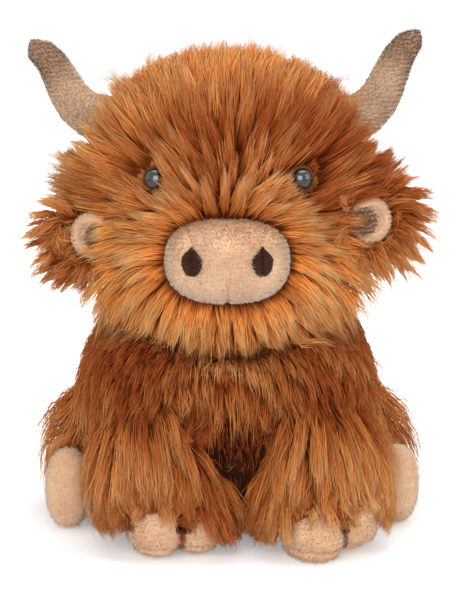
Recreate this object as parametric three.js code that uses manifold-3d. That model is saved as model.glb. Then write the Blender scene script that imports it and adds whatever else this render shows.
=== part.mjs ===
// Seated long-haired highland cow soft toy, as an assembly of sewn covers, stuffing and plastic eyes.
// Millimetres, +Z up. The toy faces -Y, so its own left is +X. The origin is the centre of the flat seat.
// Each fur cover's outer face is the brushed pile as it lies, and its wall is backing and pile together.
import * as THREE from "three";
import { mergeVertices } from "three/addons/utils/BufferGeometryUtils.js";
import Module from "manifold-3d";

const wasm = await Module();
wasm.setup();

// Fits and fabrics
const gap = 0.3; // between pieces that touch
const furWall = 8; // backing and brushed long pile
const plushWall = 2.4; // short-pile fabric
const overrun = 60; // how far a cutting tool runs past what it cuts
const floorFlat = 0.5; // how deep a round form is pressed flat by the floor
const seatClearanceShare = 0.046; // of a ball's radius, round a ball seam that turns
const rootClearanceShare = 0.09; // the same, for the small balls of the ears and the tail
const roughClearanceShare = 0.12; // the same, for the rougher hollow in the stuffing

// Body
const body = { halfWidth: 87, halfDepth: 76, halfHeight: 79, topTaperShare: -0.14, squareness: 2.3 };
const seatBag = { halfWidth: 19, halfDepth: 36, halfHeight: 13, squareness: 2.2, above: 5 };

// Neck: a plug of firm stuffing that turns in the body, with a ball end that the head nods on
const neck = { back: -10, pivotHeight: 118, ballRadius: 34, radius: 27, wall: 5, foot: 92, play: 0.6 };

// Head: a skull form and a lower form for the cheeks and beard
const skull = { halfWidth: 86, halfDepth: 72, halfHeight: 73, back: -20, centreHeight: 204 };
const jowl = { halfWidth: 75, halfDepth: 52, halfHeight: 46, back: -42, centreHeight: 158 };
const headRoom = 14; // free space under the head, for it to nod and turn

// Muzzle and nostrils
const muzzle = {
  halfWidth: 35,
  halfDepth: 26,
  halfHeight: 24,
  back: -88,
  centreHeight: 168,
  squareness: 2.5,
};
const mouthSeam = { width: 0.8, depth: 1.2, startAbove: -3 };
const nostril = { width: 10, height: 16, spread: 19.5, above: 2.3, thickness: 1.2, fullShare: -0.22 };

// Plastic eyes with a ribbed stem, and the washers pressed on the stems inside the head
const eye = { radius: 7, bulge: 4.6, flange: 1.2, spread: 42, height: 212, sink: 3.5 };
const stem = { radius: 1.7, length: 15, ribHeight: 0.35, ribPitch: 2.4 };
const washer = { radius: 7, thickness: 1.6, standOff: 4.5 };

// Horns: one entry for each side, because the toy's two horns lean differently
const hornRoot = { spread: 62, back: -18, height: 239, radius: 16.5 };
const hornTip = { radius: 8.2, nosePower: 7 };
const horns = [
  { name: "left", side: 1, reach: 52, rise: 48 },
  { name: "right", side: -1, reach: 55, rise: 42 },
];
const hornBendShares = { firstOut: 0.75, firstUp: -0.02, secondOut: 0.5, secondUp: 0.98 };

// Ears
const ear = {
  length: 34,
  halfWidth: 20,
  halfThickness: 7.5,
  rootRadius: 10,
  room: 4,
  droopDegrees: 12,
  nosePower: 2.2,
};
const earRoot = { spread: 67, back: -56 };
const earLining = { rim: 3, hollowDepth: 3.4, proud: 0.6, coverShare: 0.78 };
const ears = [
  { name: "left", side: 1, height: 188 },
  { name: "right", side: -1, height: 178 },
];

// Forelegs, each with its shoulder ball, its hem and a foot that may turn out and roll. One of a
// foot's two toes leads: it lies whole in front of the other, at 1 for the outer and -1 for the inner.
const shoulder = { spread: 48, back: -44, height: 84, radius: 30 };
const foreleg = {
  hemHeight: 17,
  hemBack: -80,
  hemHalfWidth: 39,
  hemHalfDepth: 30,
  beyondShare: 0.3,
  nosePower: 5,
};
const forelegs = [
  { name: "left", side: 1, hemSpread: 52, footSpread: 60, footTurn: 30, footRoll: 13, leading: -1 },
  { name: "right", side: -1, hemSpread: 33, footSpread: 30, footTurn: -16, footRoll: 0, leading: 1 },
];
const foreToe = { halfWidth: 17, halfDepth: 23, halfHeight: 17, spacing: 23, back: -90, squareness: 2.3 };

// Hind legs, each with its hip ball, a shank that lies forward and out, and a foot with its sole
// forward. Hips and ankles are placed inside the body's widest line, so that they move out with it.
const hip = { inside: 24, back: 12, radius: 40 };
const hindlegs = [
  { name: "left", side: 1, ankleInside: 1, ankleBack: -22 },
  { name: "right", side: -1, ankleInside: 7, ankleBack: -33 },
];
const hindleg = { ankleHeight: 29, halfWidth: 27, nosePower: 4 };
const hindToe = { halfWidth: 14.5, halfDepth: 15, halfHeight: 25, spacing: 23, forward: 10, squareness: 2.3 };
const hindFootTurn = 16; // degrees, toes outwards
const footRoom = 1.5; // between a hind leg and the foreleg before it
const limbRoom = 0.7; // between a limb and the body beside its ball seam

// Tail: a furry cord with a long tuft
const tail = { root: 74, height: 50, rootRadius: 7, radius: 5.5, out: 20, drop: 26, nosePower: 7 };
const tuft = { halfWidth: 12, halfDepth: 10, halfHeight: 19, topTaperShare: -0.2 };

// Mesh detail: how many faces go round a form and from its foot to its top
const detail = {
  large: { around: 20, up: 12 },
  inner: { around: 12, up: 7 },
  ball: { around: 14, up: 9 },
  rough: { around: 10, up: 6 },
  neckBall: { around: 20, up: 12 },
  muzzle: { around: 20, up: 12 },
  toe: { around: 12, up: 8 },
  root: { around: 10, up: 6 },
  limb: { sides: 14, rings: 7 },
  horn: { sides: 12, rings: 12 },
  hornInner: { sides: 8, rings: 8 },
  ear: { sides: 12, rings: 7 },
  lining: { sides: 10, rings: 6 },
  bar: 10,
  eye: 12,
  dome: 4,
};

const materials = {
  fur: cloth(0xa9582a, 0.85),
  stuffing: cloth(0xf1efe8, 0.95),
  plush: cloth(0xddb18a, 0.9),
  hornPlush: cloth(0xcba27f, 0.9),
  darkPlush: cloth(0x3d241b, 0.9),
  pellets: cloth(0xe4dfd2, 0.8),
  eyePlastic: new THREE.MeshStandardMaterial({ color: 0x17110e, roughness: 0.08, metalness: 0 }),
  washerPlastic: new THREE.MeshStandardMaterial({ color: 0xeceae4, roughness: 0.5, metalness: 0 }),
};

function cloth(color, roughness) {
  return new THREE.MeshStandardMaterial({ color, roughness, metalness: 0 });
}

// A solid from a closed three.js geometry, whichever way its faces turn
function solidOf(geometry) {
  const bare = geometry.clone();
  bare.deleteAttribute("normal");
  bare.deleteAttribute("uv");
  const merged = mergeVertices(bare);
  const build = (order) =>
    new wasm.Manifold(
      new wasm.Mesh({
        numProp: 3,
        vertProperties: merged.attributes.position.array,
        triVerts: new Uint32Array(order),
      }),
    );
  const made = build(merged.index.array);
  return made.volume() > 0 ? made : build([...merged.index.array].reverse());
}

function geometryOf(solid) {
  const made = solid.getMesh();
  const places = new Float32Array(made.numVert * 3);
  for (let i = 0; i < made.numVert; i++) {
    places.set(made.vertProperties.subarray(i * made.numProp, i * made.numProp + 3), i * 3);
  }
  const geometry = new THREE.BufferGeometry();
  geometry.setAttribute("position", new THREE.BufferAttribute(places, 3));
  geometry.setIndex(new THREE.BufferAttribute(made.triVerts, 1));
  geometry.computeVertexNormals();
  return geometry;
}

function joined(...solids) {
  return solids.reduce((sum, next) => sum.add(next));
}

function cutBy(solid, ...tools) {
  return tools.reduce((left, tool) => left.subtract(tool), solid);
}

function mix(from, to, share) {
  return from + (to - from) * share;
}

// A stuffed form: an ellipsoid that can be squarer, narrower towards its top, and placed by a matrix
function puff(centre, sizes, { grow = 0, around, up, placed } = {}) {
  const { halfWidth, halfDepth, halfHeight, squareness = 2, topTaperShare = 0 } = sizes;
  const geometry = new THREE.SphereGeometry(1, around, up);
  geometry.rotateX(Math.PI / 2);
  const places = geometry.attributes.position;
  const point = new THREE.Vector3();
  for (let i = 0; i < places.count; i++) {
    point.fromBufferAttribute(places, i);
    const sum = ["x", "y", "z"].reduce((total, k) => total + Math.abs(point[k]) ** squareness, 0);
    point.divideScalar(sum ** (1 / squareness));
    const taper = 1 + topTaperShare * point.z;
    point.x *= (halfWidth + grow) * taper;
    point.y *= (halfDepth + grow) * taper;
    point.z *= halfHeight + grow;
    point.add(centre);
    if (placed) point.applyMatrix4(placed);
    places.setXYZ(i, point.x, point.y, point.z);
  }
  return solidOf(geometry);
}

function ball(centre, radius, faces = detail.ball) {
  return puff(centre, { halfWidth: radius, halfDepth: radius, halfHeight: radius }, faces);
}

// A stuffed tube along a curve. Its half sizes are functions of the share of the way along it, and
// its ends close as rounded noses, blunter with a larger power.
function stuffedTube(curve, halfSideAt, halfBackAt, reference, { grow = 0, power, sides, rings }) {
  const places = [];
  const index = [];
  const side = new THREE.Vector3();
  const back = new THREE.Vector3();
  for (let i = 0; i <= rings; i++) {
    const share = (1 - Math.cos((Math.PI * i) / rings)) / 2;
    const along = curve.getTangentAt(share);
    side.copy(reference).addScaledVector(along, -reference.dot(along)).normalize();
    back.crossVectors(along, side);
    const centre = curve.getPointAt(share).addScaledVector(along, grow * (2 * share - 1));
    const close = (1 - Math.abs(2 * share - 1) ** power) ** (1 / power);
    const atEnd = i === 0 || i === rings;
    for (let j = 0; j < (atEnd ? 1 : sides); j++) {
      const turn = (2 * Math.PI * j) / sides;
      const place = centre.clone();
      if (!atEnd) {
        place.addScaledVector(side, Math.cos(turn) * close * (halfSideAt(share) + grow));
        place.addScaledVector(back, Math.sin(turn) * close * (halfBackAt(share) + grow));
      }
      places.push(place.x, place.y, place.z);
    }
  }
  const last = places.length / 3 - 1;
  const ring = (i, j) => 1 + (i - 1) * sides + (j % sides);
  for (let j = 0; j < sides; j++) {
    index.push(0, ring(1, j + 1), ring(1, j));
    for (let i = 1; i < rings - 1; i++) {
      index.push(ring(i, j), ring(i, j + 1), ring(i + 1, j));
      index.push(ring(i, j + 1), ring(i + 1, j + 1), ring(i + 1, j));
    }
    index.push(ring(rings - 1, j), ring(rings - 1, j + 1), last);
  }
  const geometry = new THREE.BufferGeometry();
  geometry.setAttribute("position", new THREE.BufferAttribute(new Float32Array(places), 3));
  geometry.setIndex(index);
  return solidOf(geometry);
}

// Everything below a height
function below(height) {
  const slab = new THREE.BoxGeometry(overrun * 10, overrun * 10, overrun);
  slab.translate(0, 0, height - overrun / 2);
  return solidOf(slab);
}

// A round bar along local Z, in a frame given by a matrix
function bar(radius, from, to, placed, sides = detail.bar) {
  const geometry = new THREE.CylinderGeometry(radius, radius, to - from, sides);
  geometry.rotateX(Math.PI / 2);
  geometry.translate(0, 0, (from + to) / 2);
  geometry.applyMatrix4(placed);
  return solidOf(geometry);
}

// A solid turned about local Z from its half outline
function turned(outline, placed, sides) {
  const geometry = new THREE.LatheGeometry(outline, sides);
  geometry.rotateX(Math.PI / 2);
  geometry.applyMatrix4(placed);
  return solidOf(geometry);
}

// A frame at a place whose Z runs sideways, out of the toy
function sideFrame(place, side) {
  return new THREE.Matrix4()
    .makeTranslation(place.x, place.y, place.z)
    .multiply(new THREE.Matrix4().makeRotationY((side * Math.PI) / 2));
}

// A frame at a place whose Z runs backwards
function backFrame(place) {
  return new THREE.Matrix4()
    .makeTranslation(place.x, place.y, place.z)
    .multiply(new THREE.Matrix4().makeRotationX(-Math.PI / 2));
}

const toy = new THREE.Group();

function piece(name, solid, material) {
  const mesh = new THREE.Mesh(geometryOf(solid), material);
  mesh.name = name;
  toy.add(mesh);
}

// Centres of the forms and of the ball seams
const bodyCentre = new THREE.Vector3(0, 0, body.halfHeight - floorFlat);
const skullCentre = new THREE.Vector3(0, skull.back, skull.centreHeight);
const jowlCentre = new THREE.Vector3(0, jowl.back, jowl.centreHeight);
const muzzleCentre = new THREE.Vector3(0, muzzle.back, muzzle.centreHeight);
const neckPivot = new THREE.Vector3(0, neck.back, neck.pivotHeight);
const tailRoot = new THREE.Vector3(0, tail.root, tail.height);
const shoulderAt = (leg) => new THREE.Vector3(leg.side * shoulder.spread, shoulder.back, shoulder.height);
const hipAt = (leg) =>
  new THREE.Vector3(leg.side * (body.halfWidth - hip.inside), hip.back, hip.radius - floorFlat);
const ankleAt = (leg, height) =>
  new THREE.Vector3(leg.side * (body.halfWidth - leg.ankleInside), leg.ankleBack, height);
const earRootAt = (one) => new THREE.Vector3(one.side * earRoot.spread, earRoot.back, one.height);
const hornRootAt = (horn) =>
  new THREE.Vector3(horn.side * hornRoot.spread, hornRoot.back, hornRoot.height);

// The hollow that a ball turns in. Inside the stuffing it is wider and rougher.
function seat(centre, radius, inStuffing) {
  return inStuffing
    ? ball(centre, radius * (1 + roughClearanceShare), detail.rough)
    : ball(centre, radius * (1 + seatClearanceShare));
}

function rootSeat(centre, radius) {
  return ball(centre, radius * (1 + rootClearanceShare), detail.root);
}

function bodyForm(grow = 0, faces = detail.large) {
  return cutBy(puff(bodyCentre, body, { grow, ...faces }), below(Math.max(0, -grow)));
}

// The head's soft shape: the skull, and the cheeks with the beard
function headForm(grow = 0, faces = detail.large) {
  return joined(
    puff(skullCentre, skull, { grow, ...faces }),
    puff(jowlCentre, jowl, { grow, ...faces }),
  );
}

// Body cover, its stuffing and the bag of pellets in its seat
const neckShaft = bar(
  neck.radius + neck.play,
  neck.foot - gap,
  neck.pivotHeight + overrun,
  new THREE.Matrix4().makeTranslation(neckPivot.x, neckPivot.y, 0),
  detail.neckBall.around,
);
function bodySeats(inStuffing) {
  return joined(
    neckShaft,
    ...forelegs.map((leg) => seat(shoulderAt(leg), shoulder.radius, inStuffing)),
    ...hindlegs.map((leg) => seat(hipAt(leg), hip.radius, inStuffing)),
    rootSeat(tailRoot, tail.rootRadius),
  );
}
const bodyShape = cutBy(bodyForm(), headForm(headRoom, detail.inner));
const bodyInside = cutBy(
  bodyForm(-furWall, detail.inner),
  headForm(headRoom + furWall, detail.inner),
);
const bodyStuffed = cutBy(
  bodyForm(-furWall - gap, detail.inner),
  headForm(headRoom + furWall + gap, detail.inner),
);
const bagCentre = new THREE.Vector3(0, 0, furWall + seatBag.above + seatBag.halfHeight);
const bagRoom = joined(
  puff(bagCentre, seatBag, { grow: gap, ...detail.inner }),
  bar(seatBag.halfDepth / 2, 0, bagCentre.z, new THREE.Matrix4()),
);
piece("body_cover", cutBy(bodyShape, bodyInside, bodySeats(false)), materials.fur);
piece("body_stuffing", cutBy(bodyStuffed, bodySeats(true), bagRoom), materials.stuffing);
piece("seat_pellet_bag", puff(bagCentre, seatBag, detail.inner), materials.pellets);

// Neck cover and plug, with the ball top that the head sits on
function neckPart(inner, outer) {
  const outline = [
    new THREE.Vector2(inner, neck.foot),
    new THREE.Vector2(outer, neck.foot),
    new THREE.Vector2(outer, neck.pivotHeight + neck.ballRadius),
    new THREE.Vector2(inner, neck.pivotHeight + neck.ballRadius),
  ];
  if (inner > 0) outline.push(outline[0]);
  const placed = new THREE.Matrix4().makeTranslation(neckPivot.x, neckPivot.y, 0);
  return turned(outline, placed, detail.neckBall.around).intersect(
    joined(
      ball(neckPivot, neck.ballRadius, detail.neckBall),
      bar(neck.ballRadius, neck.foot - gap, neck.pivotHeight, placed),
    ),
  );
}

piece("neck_cover", neckPart(neck.radius - neck.wall, neck.radius), materials.fur);
piece("neck_stuffing", neckPart(0, neck.radius - neck.wall - gap), materials.stuffing);

// The muzzle's form, and the frame of each eye on the skull
function muzzleForm(grow = 0, faces = detail.muzzle) {
  return puff(muzzleCentre, muzzle, { grow, ...faces });
}

function eyeFrame(side) {
  const across = (side * eye.spread) / skull.halfWidth;
  const up = (eye.height - skull.centreHeight) / skull.halfHeight;
  const front = -Math.sqrt(1 - across ** 2 - up ** 2);
  const half = new THREE.Vector3(skull.halfWidth, skull.halfDepth, skull.halfHeight);
  const unit = new THREE.Vector3(across, front, up);
  const place = unit.clone().multiply(half).add(skullCentre);
  const out = unit.clone().divide(half).normalize();
  const turn = new THREE.Quaternion().setFromUnitVectors(new THREE.Vector3(0, 0, 1), out);
  return new THREE.Matrix4().compose(place, turn, new THREE.Vector3(1, 1, 1));
}

// An eye: a domed cap, a thin flange and a stem with ribs that hold the washer
function eyeSolid(placed) {
  const root = stem.radius - stem.ribHeight;
  const end = -eye.sink - stem.length;
  const ribs = Math.floor(stem.length / stem.ribPitch) - 1;
  const outline = [new THREE.Vector2(0, end), new THREE.Vector2(root, end)];
  for (let i = 0; i < ribs; i++) {
    const at = end + (i + 1 / 2) * stem.ribPitch;
    outline.push(new THREE.Vector2(stem.radius, at));
    outline.push(new THREE.Vector2(root, at + stem.ribPitch / 4));
  }
  outline.push(
    new THREE.Vector2(root, -eye.sink),
    new THREE.Vector2(eye.radius, -eye.sink),
    new THREE.Vector2(eye.radius, -eye.sink + eye.flange),
  );
  for (let i = 1; i < detail.dome; i++) {
    const rise = (Math.PI / 2) * (i / detail.dome);
    outline.push(
      new THREE.Vector2(
        eye.radius * Math.cos(rise),
        -eye.sink + eye.flange + eye.bulge * Math.sin(rise),
      ),
    );
  }
  outline.push(new THREE.Vector2(0, -eye.sink + eye.flange + eye.bulge));
  return turned(outline, placed, detail.eye);
}

function eyeSocket(placed) {
  return joined(
    bar(eye.radius + gap, -eye.sink - gap, overrun, placed, detail.eye),
    bar(stem.radius + gap, -eye.sink - stem.length - gap, 0, placed),
  );
}

function washerDisc(placed, grow) {
  const top = -furWall - washer.standOff + grow;
  return bar(washer.radius + grow, top - washer.thickness - 2 * grow, top, placed, detail.eye);
}

// Horns, each with a round root set in the head
function hornForm(horn, grow = 0, faces = detail.horn) {
  const root = hornRootAt(horn);
  const place = (out, up) =>
    root.clone().add(new THREE.Vector3(horn.side * out * horn.reach, 0, up * horn.rise));
  const bends = hornBendShares;
  const curve = new THREE.CubicBezierCurve3(
    root,
    place(bends.firstOut, bends.firstUp),
    place(bends.secondOut, bends.secondUp),
    place(1, 1),
  );
  const radiusAt = (share) => mix(hornRoot.radius, hornTip.radius, share);
  return stuffedTube(curve, radiusAt, radiusAt, new THREE.Vector3(0, 1, 0), {
    grow,
    power: hornTip.nosePower,
    ...faces,
  });
}

// Ears, each with a ball at its root and a flat drooping lobe clear of the head
function earCurve(one, from, to) {
  const droop = THREE.MathUtils.degToRad(ear.droopDegrees);
  const way = new THREE.Vector3(one.side * Math.cos(droop), 0, -Math.sin(droop));
  const root = earRootAt(one);
  return new THREE.LineCurve3(
    root.clone().addScaledVector(way, from),
    root.clone().addScaledVector(way, to),
  );
}

function earForm(one) {
  const lobe = stuffedTube(
    earCurve(one, ear.room, ear.length),
    () => ear.halfWidth,
    () => ear.halfThickness,
    new THREE.Vector3(0, 0, 1),
    { power: ear.nosePower, ...detail.ear },
  );
  return joined(
    ball(earRootAt(one), ear.rootRadius, detail.root),
    cutBy(lobe, headForm(ear.room)),
  );
}

// The lining fills the middle of the ear's front half
function liningForm(one, grow = 0) {
  const form = stuffedTube(
    earCurve(one, ear.rootRadius + gap - grow, ear.length - earLining.rim + grow),
    () => ear.halfWidth * earLining.coverShare + grow,
    () => ear.halfThickness + earLining.proud + grow,
    new THREE.Vector3(0, 0, 1),
    { power: ear.nosePower, ...detail.lining },
  );
  const behind = new THREE.BoxGeometry(overrun * 10, overrun, overrun * 10);
  behind.translate(0, earRoot.back - 2 * gap + grow + overrun / 2, 0);
  return cutBy(form, solidOf(behind), headForm(ear.room + gap - grow));
}

function liningHollow(one) {
  const middle = earCurve(one, ear.rootRadius, ear.length - earLining.rim).getPointAt(1 / 2);
  middle.y = earRoot.back - ear.halfThickness;
  const hollow = {
    halfWidth: ear.length / 4,
    halfDepth: earLining.hollowDepth,
    halfHeight: (ear.halfWidth * earLining.coverShare) / 2,
  };
  return puff(middle, hollow, detail.root);
}

// Head cover and stuffing, with the neck opening and the seats of everything that is sewn to the head
const eyeFrames = { left: eyeFrame(1), right: eyeFrame(-1) };
const headSeats = joined(
  ball(neckPivot, neck.ballRadius + neck.play, detail.neckBall),
  muzzleForm(gap),
  ...horns.map((horn) => hornForm(horn, gap)),
  ...ears.map((one) => rootSeat(earRootAt(one), ear.rootRadius)),
  ...Object.values(eyeFrames).map((placed) => eyeSocket(placed)),
);
const washerRoom = joined(
  ...Object.values(eyeFrames).map((placed) => washerDisc(placed, gap)),
);
piece(
  "head_cover",
  cutBy(headForm(), headForm(-furWall, detail.inner), headSeats),
  materials.fur,
);
piece(
  "head_stuffing",
  cutBy(headForm(-furWall - gap, detail.inner), headSeats, washerRoom),
  materials.stuffing,
);

// Eyes and their washers
for (const [name, placed] of Object.entries(eyeFrames)) {
  piece(`eye_${name}`, eyeSolid(placed), materials.eyePlastic);
  piece(
    `eye_washer_${name}`,
    cutBy(washerDisc(placed, 0), bar(stem.radius + gap, -overrun, overrun, placed)),
    materials.washerPlastic,
  );
}

// Muzzle: a short-pile cup with a stitched mouth seam and two inset leaf-shaped nostrils
function leaf(width, height, side) {
  const outline = new THREE.Shape();
  const fullest = height * nostril.fullShare;
  outline.moveTo(0, -height / 2);
  outline.quadraticCurveTo(width, fullest, 0, height / 2);
  outline.quadraticCurveTo(-width, fullest, 0, -height / 2);
  const geometry = new THREE.ExtrudeGeometry(outline, {
    depth: overrun,
    bevelEnabled: false,
    curveSegments: detail.dome,
  });
  geometry.rotateX(Math.PI / 2);
  geometry.translate(side * nostril.spread, muzzle.back, muzzle.centreHeight + nostril.above);
  return solidOf(geometry);
}

const seamSlab = new THREE.BoxGeometry(mouthSeam.width, overrun, overrun);
seamSlab.translate(
  0,
  muzzle.back - overrun / 2,
  muzzle.centreHeight + mouthSeam.startAbove - overrun / 2,
);
const sides = [["left", 1], ["right", -1]];
piece(
  "muzzle_cover",
  cutBy(
    muzzleForm(),
    muzzleForm(-plushWall, detail.inner),
    headForm(-furWall - gap, detail.inner),
    cutBy(solidOf(seamSlab), muzzleForm(-mouthSeam.depth)),
    ...sides.map(([, side]) =>
      cutBy(
        leaf(nostril.width + 2 * gap, nostril.height + 2 * gap, side),
        muzzleForm(-nostril.thickness - gap),
      ),
    ),
  ),
  materials.plush,
);
piece(
  "muzzle_stuffing",
  cutBy(muzzleForm(-plushWall - gap, detail.inner), headForm(-furWall, detail.inner)),
  materials.stuffing,
);
for (const [name, side] of sides) {
  const patch = leaf(nostril.width, nostril.height, side).intersect(muzzleForm());
  piece(`nostril_${name}`, cutBy(patch, muzzleForm(-nostril.thickness)), materials.darkPlush);
}

// Horns: a plush cover, open at its root, round its own stuffing
for (const horn of horns) {
  const opening = bar(
    hornRoot.radius / 2,
    -overrun,
    hornRoot.radius / 2,
    sideFrame(hornRootAt(horn), horn.side),
  );
  piece(
    `horn_cover_${horn.name}`,
    cutBy(hornForm(horn), hornForm(horn, -plushWall, detail.hornInner), opening),
    materials.hornPlush,
  );
  piece(
    `horn_stuffing_${horn.name}`,
    hornForm(horn, -plushWall - gap, detail.hornInner),
    materials.stuffing,
  );
}

// Ears: a furry back with a short-pile lining set in its front
for (const one of ears) {
  piece(`ear_back_${one.name}`, cutBy(earForm(one), liningForm(one, gap)), materials.fur);
  piece(`ear_lining_${one.name}`, cutBy(liningForm(one), liningHollow(one)), materials.plush);
}

// Forelegs: a leg that widens from the shoulder to its hem, cut by the body, on a shoulder ball
const hemAt = (leg) => new THREE.Vector3(leg.side * leg.hemSpread, foreleg.hemBack, foreleg.hemHeight);

function forelegShaft(leg, grow = 0, faces = detail.limb) {
  const top = shoulderAt(leg);
  const hem = hemAt(leg);
  const end = hem.clone().addScaledVector(hem.clone().sub(top), foreleg.beyondShare);
  const widen = (from, to) => (share) =>
    mix(from, to, Math.min(1, share * (1 + foreleg.beyondShare)));
  const shaft = stuffedTube(
    new THREE.LineCurve3(top, end),
    widen(shoulder.radius, foreleg.hemHalfWidth),
    widen(shoulder.radius, foreleg.hemHalfDepth),
    new THREE.Vector3(1, 0, 0),
    { grow, power: foreleg.nosePower, ...faces },
  );
  return cutBy(shaft, bodyForm(limbRoom - grow), below(foreleg.hemHeight - Math.min(grow, 0)));
}

function forelegForm(leg, grow = 0) {
  return joined(ball(shoulderAt(leg), shoulder.radius + grow), forelegShaft(leg, grow));
}

// A foreleg's foot: two toes side by side, turned out and rolled with the leg
function foreToeForm(leg, way, grow = 0) {
  const turn = THREE.MathUtils.degToRad(leg.side * leg.footTurn);
  const roll = THREE.MathUtils.degToRad(-leg.side * leg.footRoll);
  const placed = new THREE.Matrix4()
    .makeTranslation(leg.side * leg.footSpread, foreToe.back, 0)
    .multiply(new THREE.Matrix4().makeRotationZ(turn))
    .multiply(new THREE.Matrix4().makeRotationY(roll));
  const across = (leg.side * way * foreToe.spacing) / 2;
  const centre = new THREE.Vector3(across, 0, foreToe.halfHeight - floorFlat);
  return puff(centre, foreToe, { grow, placed, ...detail.toe });
}

const toes = [["inner", -1], ["outer", 1]];
for (const leg of forelegs) {
  const opening = bar(
    shoulder.radius / 3,
    -shoulder.radius / 2,
    overrun,
    backFrame(hemAt(leg).lerp(shoulderAt(leg), 1 / 3)),
  );
  piece(
    `foreleg_cover_${leg.name}`,
    cutBy(forelegForm(leg), forelegShaft(leg, -furWall, detail.lining), opening),
    materials.fur,
  );
  piece(
    `foreleg_stuffing_${leg.name}`,
    forelegShaft(leg, -furWall - gap, detail.lining),
    materials.stuffing,
  );
  for (const [toe, way] of toes) {
    const neighbours = way === leg.leading ? [] : [foreToeForm(leg, leg.leading, gap)];
    piece(
      `fore_toe_${toe}_${leg.name}`,
      cutBy(foreToeForm(leg, way), forelegForm(leg, gap), below(0), ...neighbours),
      materials.plush,
    );
  }
}

// Hind legs: a ball in the hip and a shank that lies forward on the floor, cut by body and forelegs
function hindlegForm(leg, grow = 0) {
  const top = hipAt(leg);
  const shank = stuffedTube(
    new THREE.LineCurve3(top, ankleAt(leg, hindleg.ankleHeight)),
    () => hindleg.halfWidth,
    () => hindleg.halfWidth,
    new THREE.Vector3(0, 0, 1),
    { grow, power: hindleg.nosePower, ...detail.limb },
  );
  const whole = joined(ball(top, hip.radius + grow), cutBy(shank, bodyForm(limbRoom - grow)));
  return cutBy(whole, below(0));
}

function hindToeForm(leg, way, grow = 0) {
  const turn = THREE.MathUtils.degToRad(leg.side * hindFootTurn);
  const placed = new THREE.Matrix4()
    .setPosition(ankleAt(leg, 0))
    .multiply(new THREE.Matrix4().makeRotationZ(turn));
  const centre = new THREE.Vector3(
    (leg.side * way * hindToe.spacing) / 2,
    -hindToe.forward,
    hindToe.halfHeight - floorFlat,
  );
  return puff(centre, hindToe, { grow, placed, ...detail.toe });
}

hindlegs.forEach((leg, i) => {
  const front = [
    forelegForm(forelegs[i], footRoom),
    ...toes.map(([, way]) => foreToeForm(forelegs[i], way, footRoom)),
  ];
  const opening = bar(hip.radius / 3, -overrun, 0, sideFrame(hipAt(leg), leg.side));
  piece(
    `hindleg_cover_${leg.name}`,
    cutBy(hindlegForm(leg), ball(hipAt(leg), hip.radius - furWall), opening, ...front),
    materials.fur,
  );
  piece(
    `hindleg_stuffing_${leg.name}`,
    ball(hipAt(leg), hip.radius - furWall - gap),
    materials.stuffing,
  );
  for (const [toe, way] of toes) {
    const neighbours = way === 1 ? [] : [hindToeForm(leg, 1, gap)];
    piece(
      `hind_toe_${toe}_${leg.name}`,
      cutBy(
        hindToeForm(leg, way),
        hindlegForm(leg, gap),
        bodyForm(gap),
        below(0),
        ...front,
        ...neighbours,
      ),
      materials.plush,
    );
  }
});

// Tail: a furry cord from the back of the body, and the long tuft on its end
const tuftCentre = new THREE.Vector3(0, tail.root + tail.out, tuft.halfHeight + gap);
const tailCurve = new THREE.QuadraticBezierCurve3(
  tailRoot,
  new THREE.Vector3(0, tuftCentre.y, tail.height),
  new THREE.Vector3(0, tuftCentre.y, tail.height - tail.drop),
);
const cord = stuffedTube(
  tailCurve,
  () => tail.radius,
  () => tail.radius,
  new THREE.Vector3(1, 0, 0),
  { power: tail.nosePower, ...detail.lining },
);
piece(
  "tail_cord",
  cutBy(
    joined(ball(tailRoot, tail.rootRadius, detail.root), cord),
    puff(tuftCentre, tuft, { grow: gap, ...detail.toe }),
  ),
  materials.fur,
);
piece("tail_tuft", puff(tuftCentre, tuft, detail.toe), materials.fur);

export default toy;
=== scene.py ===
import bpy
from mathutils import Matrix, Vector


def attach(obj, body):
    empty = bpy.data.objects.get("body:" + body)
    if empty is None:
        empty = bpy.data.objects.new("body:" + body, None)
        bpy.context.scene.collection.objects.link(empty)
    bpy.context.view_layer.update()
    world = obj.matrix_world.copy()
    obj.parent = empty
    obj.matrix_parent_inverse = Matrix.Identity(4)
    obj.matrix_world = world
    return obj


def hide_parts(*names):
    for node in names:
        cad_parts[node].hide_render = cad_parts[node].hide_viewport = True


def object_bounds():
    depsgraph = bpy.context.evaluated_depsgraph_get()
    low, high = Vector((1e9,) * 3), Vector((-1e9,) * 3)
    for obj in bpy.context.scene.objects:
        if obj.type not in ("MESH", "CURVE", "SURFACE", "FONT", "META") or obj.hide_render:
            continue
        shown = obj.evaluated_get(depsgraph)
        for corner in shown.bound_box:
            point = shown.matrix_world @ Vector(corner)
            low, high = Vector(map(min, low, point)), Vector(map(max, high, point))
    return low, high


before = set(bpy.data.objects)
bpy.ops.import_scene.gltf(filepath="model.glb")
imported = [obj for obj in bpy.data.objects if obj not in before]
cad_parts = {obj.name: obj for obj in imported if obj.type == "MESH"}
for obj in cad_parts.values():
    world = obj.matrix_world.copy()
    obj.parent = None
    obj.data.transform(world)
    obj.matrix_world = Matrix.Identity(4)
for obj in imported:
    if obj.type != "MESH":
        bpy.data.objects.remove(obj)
cad_box = [list(corner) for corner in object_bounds()]

# Seated long-haired cow soft toy: sewn skins with a long combed coat, short-pile hooves, muzzle and
# horns, and plastic eyes. Metres, +Z up. The toy faces -Y, so its own left is +X.
import math

import bmesh
import bpy
import numpy as np
from mathutils import Matrix, Vector, kdtree
from mathutils.bvhtree import BVHTree

MM = 0.001
DOWN = np.array((0.0, 0.0, -1.0))
SIDES = (("left", 1), ("right", -1))
chance = np.random.default_rng(41)
THINNED = 1.0  # below 1, fewer strands are grown

# ---------------------------------------------------------------- camera, lights and floor

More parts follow.
